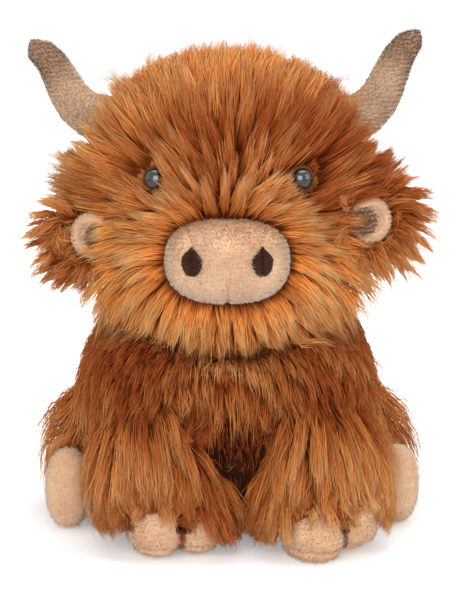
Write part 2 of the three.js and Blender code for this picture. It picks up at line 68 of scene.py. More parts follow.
TARGET = Vector((0.004, 0.0, 0.130))
DISTANCE = 1.2
ELEVATION = math.radians(10)
WHITE = (1, 1, 1, 1)
ROOM_LIGHT = 0.42
FLOOR_FADE, FLOOR_GLOW = (0.12, 0.6), (0.3, 1.2)
STRAND_PARTS = ("Root", "Middle", "Tip")
STRAND_TINTS = [f"{kind} {part}" for kind in ("Dark", "Light") for part in STRAND_PARTS]


def make_camera():
    data = bpy.data.cameras.new("camera")
    data.lens, data.sensor_width = 120, 36
    camera = bpy.data.objects.new("camera", data)
    bpy.context.collection.objects.link(camera)
    camera.location = TARGET + DISTANCE * Vector((0, -math.cos(ELEVATION), math.sin(ELEVATION)))
    camera.rotation_euler = (math.radians(90) - ELEVATION, 0, 0)
    bpy.context.scene.camera = camera


def softbox(name, place, size, watts):
    data = bpy.data.lights.new(name, "AREA")
    data.shape, data.size, data.size_y, data.energy = "RECTANGLE", size[0], size[1], watts
    lamp = bpy.data.objects.new(name, data)
    bpy.context.collection.objects.link(lamp)
    lamp.location = place
    aim = Vector((0, 0, 0.14)) - Vector(place)
    lamp.rotation_euler = aim.to_track_quat("-Z", "Y").to_euler()


def link(tree, source, target):
    tree.links.new(source, target)


def node(tree, kind, values=None, **settings):
    """A new node with its settings. A socket takes a value, or another node's output to link."""
    made = tree.nodes.new("ShaderNode" + kind)
    for name, value in settings.items():
        setattr(made, name, value)
    for socket, value in (values or {}).items():
        if isinstance(value, bpy.types.NodeSocket):
            link(tree, value, made.inputs[socket])
        else:
            made.inputs[socket].default_value = value
    return made


def ranged(tree, value, source=(0, 1), target=(0, 1), **settings):
    ends = {"From Min": source[0], "From Max": source[1], "To Min": target[0], "To Max": target[1]}
    return node(tree, "MapRange", {"Value": value, **ends}, **settings).outputs["Result"]


def mixed(tree, factor, first, second):
    sockets = {"Factor": factor, 6: first, 7: second}
    return node(tree, "Mix", sockets, data_type="RGBA").outputs[2]


def maths(tree, operation, *values, **settings):
    return node(tree, "Math", dict(enumerate(values)), operation=operation, **settings).outputs[0]


def make_studio():
    """A white room that is dimmer as light than to the eye, three softboxes, and a paper floor."""
    world = bpy.data.worlds.new("studio")
    bpy.context.scene.world = world
    world.use_nodes = True
    tree = world.node_tree
    sky = tree.nodes["Background"].inputs
    path = node(tree, "LightPath").outputs
    mirrored = maths(tree, "ADD", path["Is Glossy Ray"], path["Is Transmission Ray"])
    seen = maths(tree, "ADD", path["Is Camera Ray"], mirrored, use_clamp=True)
    link(tree, ranged(tree, seen, target=(ROOM_LIGHT, 1)), sky["Strength"])
    sky["Color"].default_value = WHITE

    softbox("front_softbox", (-0.25, -1.8, 0.8), (1.5, 1.3), 26)
    softbox("top_softbox", (0.1, 0.1, 1.5), (1.2, 1.2), 11)
    softbox("side_softbox", (1.3, -0.6, 0.7), (0.8, 1.0), 5)

    bpy.ops.mesh.primitive_plane_add(size=8, location=(0, 0, 0))
    floor = bpy.context.object
    floor.name = "floor"
    paper = bpy.data.materials.new("floor_paper")
    paper.use_nodes = True
    tree = paper.node_tree
    shader = tree.nodes["Principled BSDF"].inputs
    shader["Base Color"].default_value = (0.93, 0.93, 0.93, 1)
    shader["Roughness"].default_value = 0.9
    shader["Emission Color"].default_value = WHITE
    seen = node(tree, "LightPath").outputs["Is Camera Ray"]
    place = node(tree, "TexCoord").outputs["Object"]
    away = node(tree, "VectorMath", {0: place}, operation="LENGTH").outputs["Value"]
    glow = ranged(tree, away, FLOOR_FADE, FLOOR_GLOW)
    link(tree, maths(tree, "MULTIPLY", seen, glow), shader["Emission Strength"])
    floor.data.materials.append(paper)


# ---------------------------------------------------------------- materials


def srgb(*levels):
    """A screen colour from 0 to 255, as the linear colour that a socket takes."""
    shares = [level / 255 for level in levels]
    return (*[s / 12.92 if s <= 0.04045 else ((s + 0.055) / 1.055) ** 2.4 for s in shares], 1)


def new_group(name, inputs, outputs):
    """A node group with its sockets, each with its kind. Also returns both ends' sockets."""
    tree = bpy.data.node_groups.new(name, "ShaderNodeTree")
    for end, sockets in (("INPUT", inputs), ("OUTPUT", outputs)):
        for socket, kind in sockets.items():
            tree.interface.new_socket(socket, in_out=end, socket_type="NodeSocket" + kind)
    given = tree.nodes.new("NodeGroupInput").outputs
    return tree, given, tree.nodes.new("NodeGroupOutput").inputs


def noise(tree, scale, **sockets):
    place = node(tree, "TexCoord").outputs["Object"]
    return node(tree, "TexNoise", {"Vector": place, "Scale": scale, **sockets}).outputs["Fac"]


def new_material(name, group, values, **shader_values):
    """A material whose look is a node group's: each of its outputs feeds the shader."""
    material = bpy.data.materials.new(name)
    material.use_nodes = True
    tree = material.node_tree
    shader = tree.nodes["Principled BSDF"].inputs
    shader["Roughness"].default_value = 0.6
    shader["Sheen Roughness"].default_value = 0.4
    for socket, value in shader_values.items():
        shader[socket.replace("_", " ")].default_value = value
    for output in node(tree, "Group", values, node_tree=group).outputs:
        link(tree, output, shader["Base Color" if output.name == "Colour" else output.name])
    return material


def strand_group():
    """Tint of a strand: its map's U is how light the strand is, and V runs from root to tip."""
    results = {"Colour": "Color", "Roughness": "Float"}
    tree, given, out = new_group("strand_tint", dict.fromkeys(STRAND_TINTS, "Color"), results)
    place = node(tree, "UVMap", uv_map="OFBake").outputs["UV"]
    split = node(tree, "SeparateXYZ", {0: place}).outputs
    low = ranged(tree, split["Y"], (0.02, 0.5), interpolation_type="SMOOTHSTEP")
    high = ranged(tree, split["Y"], (0.45, 1.0), interpolation_type="SMOOTHSTEP")
    shades = []
    for kind in ("Dark", "Light"):
        lower = mixed(tree, low, given[kind + " Root"], given[kind + " Middle"])
        shades.append(mixed(tree, high, lower, given[kind + " Tip"]))
    link(tree, mixed(tree, split["X"], *shades), out["Colour"])
    link(tree, ranged(tree, split["Y"], target=(0.75, 0.5)), out["Roughness"])
    return tree


def strand_material(name, colours, sheen=0.0):
    values = {tint: srgb(*colour) for tint, colour in zip(STRAND_TINTS, colours)}
    return new_material(name, STRANDS, values, Sheen_Weight=sheen, Specular_IOR_Level=0.1)


def cloth_group():
    """Short brushed cloth: flecks of two shades, and a bump of fine tufts."""
    tree, given, out = new_group(
        "brushed_cloth",
        {"Shade": "Color", "Light": "Color", "Tuft Scale": "Float", "Tuft Height": "Float"},
        {"Colour": "Color", "Roughness": "Float", "Normal": "Vector"},
    )
    tufts = noise(tree, given["Tuft Scale"], Detail=4, Roughness=0.65)
    blend = maths(tree, "MULTIPLY_ADD", tufts, 0.6, noise(tree, 60, Detail=3))
    spread = ranged(tree, blend, (0.55, 1.05))
    link(tree, mixed(tree, spread, given["Shade"], given["Light"]), out["Colour"])
    link(tree, ranged(tree, tufts, target=(0.95, 0.75)), out["Roughness"])
    bump = node(tree, "Bump", {"Strength": 0.7, "Distance": given["Tuft Height"], "Height": tufts})
    link(tree, bump.outputs["Normal"], out["Normal"])
    return tree


def cloth_material(name, shade, light, tuft_scale=900.0, sheen=0.25):
    values = {"Shade": srgb(*shade), "Light": srgb(*light)}
    values.update({"Tuft Scale": tuft_scale, "Tuft Height": 0.6 * MM})
    return new_material(name, CLOTH, values, Sheen_Weight=sheen, Specular_IOR_Level=0.2)


def plastic_group():
    """Moulded plastic: two close shades in broad clouds, fine scuffs in the gloss."""
    tree, given, out = new_group(
        "moulded_plastic",
        {"Shade": "Color", "Light": "Color", "Gloss": "Float"},
        {"Colour": "Color", "Roughness": "Float"},
    )
    link(tree, mixed(tree, noise(tree, 240), given["Shade"], given["Light"]), out["Colour"])
    scuffs = noise(tree, 1600, Detail=5)
    link(tree, maths(tree, "MULTIPLY_ADD", scuffs, 0.05, given["Gloss"]), out["Roughness"])
    return tree


def plastic_material(name, shade, light, roughness, coat=0.0, specular=0.5):
    values = {"Shade": srgb(*shade), "Light": srgb(*light), "Gloss": roughness}
    return new_material(
        name, PLASTIC, values, Specular_IOR_Level=specular, Coat_Weight=coat, Coat_Roughness=0.04
    )


# ---------------------------------------------------------------- skins


def pick(*objects):
    bpy.ops.object.select_all(action="DESELECT")
    for one in objects:
        one.select_set(True)
    bpy.context.view_layer.objects.active = objects[0]


def modify(piece, kind, **settings):
    modifier = piece.modifiers.new(kind.lower(), kind)
    for name, value in settings.items():
        setattr(modifier, name, value)


def apply_all(piece):
    pick(piece)
    for modifier in list(piece.modifiers):
        bpy.ops.object.modifier_apply(modifier=modifier.name)
    piece.data.shade_smooth()


def skin_of(name, nodes, voxel, inset, smooth=6, seats=()):
    """One closed skin over several CAD nodes: their outer shape, smoothed and drawn in. It runs on
    over the round seats that the limbs turn in."""
    mesh = bpy.data.meshes.new(name)
    form = bmesh.new()
    for solid in nodes:
        form.from_mesh(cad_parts[solid].data)
    bmesh.ops.remove_doubles(form, verts=form.verts, dist=0.01 * MM)
    for centre, radius in seats:
        place = Matrix.Translation(Vector(centre))
        bmesh.ops.create_icosphere(form, subdivisions=4, radius=radius * SEAT_SHARE, matrix=place)
    form.to_mesh(mesh)
    form.free()
    skin = bpy.data.objects.new(name, mesh)
    bpy.context.collection.objects.link(skin)
    modify(skin, "REMESH", mode="VOXEL", voxel_size=voxel, use_smooth_shade=True)
    modify(skin, "SMOOTH", factor=0.5, iterations=smooth)
    modify(skin, "DISPLACE", strength=-inset, mid_level=0)
    modify(skin, "SMOOTH", factor=0.5, iterations=smooth)
    apply_all(skin)
    return skin


# ---------------------------------------------------------------- growing strands


def read(rows, name, width, kind=np.float32):
    """One value of all the rows of a mesh, as an array."""
    values = np.empty(len(rows) * width, kind)
    rows.foreach_get(name, values)
    return values.reshape(-1, width)


def places_of(piece):
    return read(piece.data.vertices, "co", 3).astype(float)


class Cover:
    """Surfaces as one set of triangles, which strands grow on or lie against."""

    def __init__(self, *pieces):
        places, faces, normals, start = [], [], [], 0
        for piece in pieces:
            mesh = piece.data
            mesh.calc_loop_triangles()
            places.append(read(mesh.vertices, "co", 3))
            normals.append(read(mesh.vertices, "normal", 3))
            faces.append(read(mesh.loop_triangles, "vertices", 3, np.int32) + start)
            start += len(places[-1])
        self.places = np.concatenate(places).astype(float)
        self.faces = np.concatenate(faces)
        self.normals = np.concatenate(normals).astype(float)
        self.face_normals = unit(self.normals[self.faces].mean(1))
        self.tree = BVHTree.FromPolygons(self.places.tolist(), self.faces.tolist())

    def nearest(self, points):
        """For each point: the nearest place on the surface, its normal, and the height above it."""
        spots = np.empty_like(points)
        rows = np.empty(len(points), int)
        for i, point in enumerate(points):
            spot, _, row, _ = self.tree.find_nearest(point)
            spots[i], rows[i] = spot, row
        normals = self.face_normals[rows]
        return spots, normals, ((points - spots) * normals).sum(1)

    def shares(self, mask=None):
        """Twice each face's area, times the mask there."""
        corner = self.places[self.faces]
        sides = np.cross(corner[:, 1] - corner[:, 0], corner[:, 2] - corner[:, 0])
        area = np.linalg.norm(sides, axis=1)
        return area if mask is None else area * mask(corner.mean(1), self.face_normals)

    def scatter(self, count, mask=None):
        """Evenly spread random places on the surface, with their normals."""
        total = np.cumsum(self.shares(mask))
        picks = (np.arange(count) + chance.random(count)) / count * total[-1]
        rows = np.minimum(np.searchsorted(total, picks), len(total) - 1)
        a, b = chance.random((2, count))
        flip = a + b > 1
        a[flip], b[flip] = 1 - a[flip], 1 - b[flip]
        c = self.places[self.faces[rows]]
        spots = c[:, 0] + a[:, None] * (c[:, 1] - c[:, 0]) + b[:, None] * (c[:, 2] - c[:, 0])
        n = self.normals[self.faces[rows]]
        up = n[:, 0] + a[:, None] * (n[:, 1] - n[:, 0]) + b[:, None] * (n[:, 2] - n[:, 0])
        return spots, unit(up)

    def covers(self, points, normals, reach):
        """True where a point's normal meets these surfaces within the reach."""
        hits = (self.tree.ray_cast(Vector(p), Vector(n), reach)[0] for p, n in zip(points, normals))
        return np.array([hit is not None for hit in hits])

    def area(self, mask):
        return float(self.shares(mask).sum() / 2)


def mm(*values):
    return np.array(values, float) * MM


def unit(vectors):
    return vectors / np.maximum(np.linalg.norm(vectors, axis=-1, keepdims=True), 1e-9)


def along(vectors, normals):
    """The part of each vector that lies in the surface."""
    return vectors - (vectors * normals).sum(-1, keepdims=True) * normals


def near(p, spot):
    return np.linalg.norm(p - spot, axis=1)


def bump_at(p, x, z, wide, tall):
    """1 at a place on the face, falling away round it."""
    aside, above = (p[:, 0] - x * MM) / (wide * MM), (p[:, 2] - z * MM) / (tall * MM)
    return np.exp(-(aside**2) - above**2)


def rise(value, low, high):
    """From 0 at low to 1 at high, smoothly."""
    t = np.clip((value - low) / (high - low), 0, 1)
    return t * t * (3 - 2 * t)


def by_height(p, low, high):
    return rise(p[:, 2], low * MM, high * MM)


def by_side(p, near_middle, far):
    return rise(np.abs(p[:, 0]), near_middle * MM, far * MM)


NEXT_CELLS = [(x, y, z) for x in (-1, 0, 1) for y in (-1, 0, 1) for z in (-1, 0, 1)]


def spaced(spots, normals, spacing):
    """Drops places until those left are about a spacing apart."""
    kept, cells = [], {}
    keys = np.floor(spots / spacing).astype(int)
    for i in chance.permutation(len(spots)):
        x, y, z = keys[i]
        around = (cells.get((x + dx, y + dy, z + dz), ()) for dx, dy, dz in NEXT_CELLS)
        if all(((spots[i] - spots[j]) ** 2).sum() >= spacing**2 for cell in around for j in cell):
            kept.append(i)
            cells.setdefault((x, y, z), []).append(i)
    return spots[kept], normals[kept]


GUIDE_STEPS = 10
LOCK_POINTS = 6  # tips that the strands of one lock gather at
UNDER_SHARE, UNDER_LENGTH, UNDER_WIDTH = 0.36, 0.72, 1.9  # the thick short strands below the rest


def wander(points, size, seed):
    """Smooth random vectors that change over about a size, the same for the same seed."""
    waves = np.random.default_rng(seed)
    total = np.zeros_like(points)
    for _ in range(8):
        ray = unit(waves.normal(0, 1, 3)) * math.tau / (size * waves.uniform(1.6, 3.2))
        total += np.sin(points @ ray + waves.uniform(0, math.tau))[:, None] * waves.normal(0, 1, 3)
    return total / 2.8


def comb(roots, normals, nap, length, lift, cling, weight, height, walls, floor, sway, lost):
    """Lays one guide for each lock. It leaves the skin at its lift, follows the nap, hangs by its
    weight and stays above the skins. Returns the guides' points, the way up at each, and which
    guides found their way free."""
    points = np.empty((len(roots), GUIDE_STEPS + 1, 3))
    ups = np.empty_like(points)
    points[:, 0], ups[:, 0] = roots, normals
    place = roots.copy()
    flow = along(unit(nap(roots, normals)) + sway, normals)
    way = unit(unit(flow) * np.cos(lift)[:, None] + normals * np.sin(lift)[:, None])
    step = (length / GUIDE_STEPS)[:, None]
    free = np.ones(len(roots), bool)
    for k in range(1, GUIDE_STEPS + 1):
        share = k / GUIDE_STEPS
        place = place + way * step
        spots, up, above = walls.nearest(place)
        least = height * rise(share, 0, 0.4) * (1 - 0.25 * share)
        low = above < least
        free &= above > -lost
        place[low] = (spots + up * least[:, None])[low]
        moved = unit(place - points[:, k - 1])
        place = points[:, k - 1] + moved * step
        place[:, 2] = np.maximum(place[:, 2], floor)
        pull = cling * (1 - 0.6 * share)
        flow = unit(along(unit(nap(place, up)) + sway, up))
        way = unit(moved * (1 - pull)[:, None] + flow * pull[:, None] + DOWN * weight[:, None])
        points[:, k], ups[:, k] = place, up
    return points, ups, free


def tubes(paths, ups, widths, tones):
    """Closed three-sided strands along paths, tapered to a point: corners, faces and map places."""
    count, segments = len(paths), paths.shape[1] - 1
    shares = np.linspace(0, 1, segments + 1)
    tangents = unit(np.gradient(paths, axis=1))
    across = unit(np.cross(tangents, ups))
    above = np.cross(across, tangents)
    turn = chance.random(count) * math.tau
    profile = (0.65 + 0.35 * rise(shares, 0, 0.25)) * (1 - 0.75 * rise(shares, 0.5, 1.0))
    rings = []
    for side in range(3):
        angle = turn[:, None] + side * math.tau / 3
        reach = (widths[:, None] / 2 * profile[None, :])[:, :, None]
        ray = across * np.cos(angle)[:, :, None] + above * np.sin(angle)[:, :, None]
        rings.append(paths + reach * ray)
    body = np.stack(rings, axis=2)[:, :-1].reshape(count, -1, 3)
    corners = np.concatenate([body, paths[:, -1:]], axis=1)
    per = corners.shape[1]
    tip = per - 1
    faces, maps = [[0, 2, 1]], [[(0, 0), (2, 0), (1, 0)]]
    for k in range(segments - 1):
        for side in range(3):
            a, b = 3 * k + side, 3 * k + (side + 1) % 3
            c, d = a + 3, b + 3
            v, w = shares[k], shares[k + 1]
            faces += [[a, b, c], [b, d, c]]
            maps.append([(side, v), (side + 1, v), (side, w)])
            maps.append([(side + 1, v), (side + 1, w), (side, w)])
    for side in range(3):
        a, b = 3 * (segments - 1) + side, 3 * (segments - 1) + (side + 1) % 3
        faces.append([a, b, tip])
        maps.append([(side, shares[-2]), (side + 1, shares[-2]), (side + 0.5, 1)])
    faces = np.array(faces)[None] + (np.arange(count) * per)[:, None, None]
    maps = np.array(maps, float).reshape(-1, 2)
    u = tones[:, None] * 0.94 + 0.02 * maps[None, :, 0]
    maps = np.stack([u, np.broadcast_to(maps[None, :, 1], u.shape)], axis=2)
    return corners.reshape(-1, 3), faces.reshape(-1, 3), maps.reshape(-1, 2)


def strand_piece(name, bundles, material):
    """One mesh of several bundles of strands."""
    start, corners, faces, maps = 0, [], [], []
    for places, rows, spots in bundles:
        corners.append(places)
        faces.append(rows + start)
        maps.append(spots)
        start += len(places)
    corners, faces, maps = (np.concatenate(rows) for rows in (corners, faces, maps))
    mesh = bpy.data.meshes.new(name)
    mesh.vertices.add(len(corners))
    mesh.vertices.foreach_set("co", corners.reshape(-1).astype(np.float32))
    mesh.loops.add(faces.size)
    mesh.loops.foreach_set("vertex_index", faces.reshape(-1).astype(np.int32))
    mesh.polygons.add(len(faces))
    mesh.polygons.foreach_set("loop_start", np.arange(0, faces.size, 3, dtype=np.int32))
    layer = mesh.uv_layers.new(name="OFBake")
    layer.data.foreach_set("uv", maps.reshape(-1).astype(np.float32))
    mesh.update(calc_edges=True)
    mesh.shade_smooth()
    mesh.materials.append(material)
    piece = bpy.data.objects.new(name, mesh)
    bpy.context.collection.objects.link(piece)
    return piece


def deep(values):
    """One value for each strand, shaped to act on all of its points."""
    return values[:, None, None]


def same(value):
    """A size that is the same at every root, or already a rule by place."""
    return value if callable(value) else lambda places: np.full(len(places), float(value))


def grow(
    name, body, skin, walls, mask, nap, strands, spacing=6 * MM, length=42 * MM, lift=35,
    cling=0.35, weight=0.1, height=(2 * MM, 8 * MM), width=0.36 * MM, tone=0.5, clump=0.62,
    wave=0.8 * MM, sway=0.22, trim=None, floor=1.2 * MM, strays=0.05, lost=7 * MM,
):
    """A coat of long strands gathered in soft pointed locks, with thicker short ones below them."""
    strands = int(strands * THINNED)
    seeds, up = skin.scatter(int(6 * skin.area(mask) / spacing**2) + 8, mask)
    seeds, up = spaced(seeds, up, spacing)
    locks = len(seeds)
    size = same(length)(seeds) * chance.uniform(0.85, 1.1, locks)
    field = wander(seeds, 16 * MM, 5)
    high_lock = np.clip(0.5 + 0.28 * field[:, 0] + chance.normal(0, 0.22, locks), 0, 1)
    tall = height[0] + (height[1] - height[0]) * high_lock
    start = np.radians(np.clip(same(lift)(seeds) + chance.normal(0, 6, locks), 8, 85))
    drift = chance.normal(0, 1, (locks, 3)) * sway * 0.4 + wander(seeds, 22 * MM, 9) * sway
    pull, hang = same(cling)(seeds), same(weight)(seeds)
    guides, ups, free = comb(
        seeds, up, nap, size, start, pull, hang, tall, walls, floor, drift, lost
    )

    tree = kdtree.KDTree(locks)
    for i, seed in enumerate(seeds):
        tree.insert(seed, i)
    tree.balance()
    roots, _ = skin.scatter(strands, mask)
    lock = np.array([tree.find(root)[1] for root in roots])
    good = (np.linalg.norm(roots - seeds[lock], axis=1) < 1.8 * spacing) & free[lock]
    roots, lock = roots[good], lock[good]
    count = len(roots)
    is_under = chance.random(count) < UNDER_SHARE
    long = np.clip(chance.normal(0.86, 0.12, count), 0.4, 1.0)
    long[is_under] *= UNDER_LENGTH
    if trim is not None:
        long = trim(guides, lock, long)
    point = chance.integers(0, LOCK_POINTS, count)
    spot = chance.normal(0, 1, (locks, LOCK_POINTS, 2))[lock, point]
    own = chance.normal(0, 1, (count, 3))
    stray = np.where(chance.random(count) < strays, 1.0, 0.0)
    tight = np.clip(clump + chance.normal(0, 0.16, locks), 0.15, 0.9)[lock]
    swing_rate = chance.uniform(3.0, 6.5, locks)[lock]
    swing_start = (chance.random(locks) * math.tau)[lock]
    middle = chance.random(count)
    light = same(tone)(seeds)[lock] + (0.14 * field[:, 1] + chance.normal(0, 0.13, locks))[lock]
    light = light + 0.24 * (high_lock[lock] - 0.5) + chance.normal(0, 0.06, count) - 0.16 * is_under
    light = np.clip(light, 0.0, 1.0)
    wide = width * np.clip(chance.normal(1, 0.22, count), 0.5, 1.6)
    wide = wide * np.where(is_under, UNDER_WIDTH, 1.0)

    bundles = []
    for chosen, steps in ((~is_under, 3), (is_under, 2)):
        if not chosen.any():
            continue
        at_lock = lock[chosen]
        shares = np.linspace(0, 1, steps + 1)
        at = np.clip(shares[None] * long[chosen][:, None], 0, 1) * GUIDE_STEPS
        low = np.minimum(at.astype(int), GUIDE_STEPS - 1)
        part = (at - low)[:, :, None]
        row = at_lock[:, None]
        path = guides[row, low] * (1 - part) + guides[row, low + 1] * part
        normal = unit(ups[row, low] * (1 - part) + ups[row, low + 1] * part)
        before, after = np.maximum(low - 1, 0), np.minimum(low + 2, GUIDE_STEPS)
        tangent = unit(guides[row, after] - guides[row, before])
        across = unit(np.cross(tangent, normal))
        above = np.cross(across, tangent)
        offset = roots[chosen] - seeds[at_lock]
        ahead, side, high = (
            deep((offset * axis[:, 0]).sum(1)) for axis in (tangent, across, above)
        )
        mine, tuft, loose, pulled, rate, begin, bend = (
            each[chosen] for each in (own, spot, stray, tight, swing_rate, swing_start, middle)
        )
        gather = deep(pulled) * rise(shares, 0.15, 1.0)[None, :, None] * (1 - deep(loose))
        fan = rise(shares, 0.0, 1.0)[None, :, None] * MM
        swing = np.sin(shares[None] * rate[:, None] + begin[:, None]) - np.sin(begin)[:, None]
        apart = tuft[:, 0] * 1.1 + mine[:, 0] * (0.4 + 3.5 * loose)
        side = side * (1 - gather) + fan * deep(apart) + swing[:, :, None] * wave
        bulge = np.sin(shares * math.pi)[None, :, None] * deep(bend * 2.4 * MM)
        raised = tuft[:, 1] * 0.9 + mine[:, 1] * 0.4 + np.abs(mine[:, 2]) * 4 * loose
        high = high * (1 - gather) + bulge + fan * deep(raised)
        ahead = ahead * (1 - gather * 0.6)
        path = path + tangent * ahead + across * side + above * high
        path = np.clip(path, ROOM[0], ROOM[1])
        bundles.append(tubes(path, normal, wide[chosen], light[chosen]))
    piece = strand_piece(name, bundles, coat)
    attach(piece, body)
    return piece


def pile(
    name, body, pieces, material, strands, nap, tone, mask, length, lean=1.1, width=0.52 * MM
):
    """Short brushed pile on small pieces: straight fine tufts that lean along the nap."""
    surface = Cover(*pieces)
    roots, up = surface.scatter(int(strands * THINNED), mask)
    count = len(roots)
    crush = wander(roots, 7 * MM, 13)
    flecks = wander(roots, 1.3 * MM, 17)
    own = 0.15 * chance.normal(0, 1, (count, 3))
    flow = along(unit(nap(roots, up)) + 0.5 * crush + 0.9 * flecks + own, up)
    way = unit(up + lean * chance.uniform(0.6, 1.2, count)[:, None] * unit(flow))
    size = same(length)(roots) * chance.uniform(0.7, 1.2, count)
    shares = np.linspace(0, 1, 2)[None, :, None]
    start = roots - up * 0.3 * MM
    paths = start[:, None] + (way * size[:, None])[:, None] * shares
    light = same(tone)(roots) + 0.1 * crush[:, 2] + 0.26 * flecks[:, 0]
    light = np.clip(light + chance.normal(0, 0.08, count), 0, 1)
    wide = width * np.clip(chance.normal(1, 0.2, count), 0.6, 1.5)
    piece = strand_piece(name, [tubes(paths, np.repeat(up[:, None], 2, 1), wide, light)], material)
    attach(piece, body)
    return piece


def dress(piece, body, nodes, kind, *materials, fill=None):
    """Gives a visible piece its materials, hangs it on its body's empty and hides the CAD parts
    that it stands for.
    """
    for material in materials:
        piece.data.materials.append(material)
    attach(piece, body)
    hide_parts(*nodes)


def second_material(piece, there):
    """Gives the faces whose middles the rule picks the piece's second material."""
    for face in piece.data.polygons:
        if there(np.array(face.center)[None])[0]:
            face.material_index = 1


def seam_distance(points, lines):
    """Distance in the XZ plane from each point to the nearest of the lines."""
    nearest = np.full(len(points), 1.0)
    flat = points[:, [0, 2]]
    for start, end in lines:
        a, b = mm(*start), mm(*end)
        share = np.clip((flat - a) @ (b - a) / ((b - a) @ (b - a)), 0, 1)
        nearest = np.minimum(nearest, np.linalg.norm(flat - a - share[:, None] * (b - a), axis=1))
    return nearest


def put(piece, places):
    piece.data.vertices.foreach_set("co", places.reshape(-1).astype(np.float32))
    piece.data.update()


def move_in(piece, depth):
    """Draws a skin in along its normals, by a depth for each corner."""
    up = read(piece.data.vertices, "normal", 3)
    put(piece, places_of(piece) - up * depth[:, None])


def shaped(name, add, centre, scale, turn, tilt=0.0, **sizes):
    """A primitive that faces forward, turned and tilted, at its size and place."""
    bpy.ops.object.select_all(action="DESELECT")
    add(location=centre, rotation=(math.radians(90 - tilt), 0, math.radians(turn)), **sizes)
    piece = bpy.context.object
    piece.name = piece.data.name = name
    piece.scale = scale
    bpy.ops.object.transform_apply(location=True, rotation=True, scale=True)
    piece.data.shade_smooth()
    return piece


def nostril_patch(name, centre):
    """A dark drop with its point up, laid on the muzzle and folded in down its middle."""
    piece = shaped(
        name, bpy.ops.mesh.primitive_uv_sphere_add, centre,
        (NOSTRIL_HALF[0], NOSTRIL_HALF[1], 1 * MM),
        0, segments=48, ring_count=24,
    )
    places = places_of(piece)
    across, deep, high = (places - centre).T
    places[:, 0] = centre[0] + across * (1 - 0.64 * rise(high / NOSTRIL_HALF[1], 0.15, 1.1))
    crease = np.exp(-((across / (0.9 * MM)) ** 2))
    for i, place in enumerate(places):
        spot = muzzle_front.tree.ray_cast(Vector((place[0], -0.2, place[2])), Vector((0, 1, 0)))[0]
        places[i, 1] = spot.y - 0.7 * MM + 0.8 * deep[i] + 0.9 * MM * crease[i]
    put(piece, places)
    return piece


def ear_cup(name, centre, half, turn):
    """The ear's lining: a puffed cushion whose front is pressed in to a hollow with a thick rim."""
    sphere = bpy.ops.mesh.primitive_uv_sphere_add
    piece = shaped(name, sphere, centre, (*half, CUP_THICK), turn, segments=48, ring_count=24)
    bpy.ops.object.mode_set(mode="EDIT")
    form = bmesh.from_edit_mesh(piece.data)
    bpy.ops.mesh.select_all(action="DESELECT")
    for face in form.faces:
        middle = np.array(face.calc_center_median()) - centre
        inside = math.hypot(middle[0] / half[0], middle[2] / half[1]) < CUP_OPENING
        face.select_set(bool(inside and face.normal.y < 0))
    bmesh.update_edit_mesh(piece.data)
    for depth in (0.45, 0.55):
        inward = {"value": (0, depth * CUP_DEPTH, 0)}
        bpy.ops.mesh.extrude_region_move(TRANSFORM_OT_translate=inward)
        bpy.ops.transform.resize(value=(0.84, 1, 0.84))
    bpy.ops.object.mode_set(mode="OBJECT")
    modify(piece, "SMOOTH", factor=0.5, iterations=4)
    apply_all(piece)
    return piece


# ---------------------------------------------------------------- the toy

make_camera()
make_studio()

STRANDS, CLOTH, PLASTIC = strand_group(), cloth_group(), plastic_group()
coat = strand_material(
    "long_fur",
    [(88, 28, 8), (148, 60, 21), (206, 110, 48),
     (176, 84, 33), (250, 160, 78), (255, 216, 150)],
)
short_pile = strand_material(
    "short_pile",
    [(140, 84, 48), (182, 122, 78), (208, 154, 108),
     (212, 168, 128), (240, 218, 192), (252, 246, 234)],
    sheen=0.1,
)
# Its dark shades are for the ear's hollow: brown cloth deepened with painted shade.
ear_pile = strand_material(
    "ear_pile",
    [(34, 17, 10), (62, 34, 21), (98, 60, 40),
     (206, 158, 118), (244, 208, 174), (255, 238, 216)],
    sheen=0.1,
)
horn_pile = strand_material(
    "horn_pile",
    [(66, 44, 32), (98, 68, 50), (142, 106, 80),
     (204, 158, 120), (236, 204, 172), (253, 234, 210)],
    sheen=0.1,
)
dark_pile = strand_material(
    "dark_pile",
    [(30, 14, 10), (46, 24, 16), (66, 38, 26),
     (60, 32, 22), (92, 56, 38), (120, 78, 54)],
)
under_coat = cloth_material("fur_backing", (140, 62, 26), (182, 92, 44), 700.0, sheen=0.0)
# Near-black backing for the hollow between the forelegs: painted shade.
painted_shade_gap_coat = cloth_material("fur_backing_painted_shade_in_the_gap", (40, 17, 9), (78, 34, 15), 700.0, sheen=0.0)
beige = cloth_material("beige_plush", (200, 152, 114), (234, 194, 158), 900.0)
# Inside of the ear's hollow: the lining's own brown, darkened further with painted shade.
ear_hollow_brown_and_shade = cloth_material("ear_hollow_plush_brown_and_painted_shade", (92, 54, 33), (140, 92, 62), 900.0)
horn_cloth = cloth_material("horn_plush", (142, 106, 82), (190, 152, 122), 900.0)
dark_cloth = cloth_material("dark_plush", (46, 24, 17), (80, 48, 34), 900.0)

eye_gloss = plastic_material("eye_gloss", (9, 7, 7), (16, 12, 11), roughness=0.06, coat=1.0)
eye_rim = plastic_material("eye_rim", (66, 36, 14), (100, 58, 25), roughness=0.5, specular=0.2)
washer_plastic = plastic_material("washer_plastic", (206, 204, 198), (224, 222, 216), roughness=0.5)

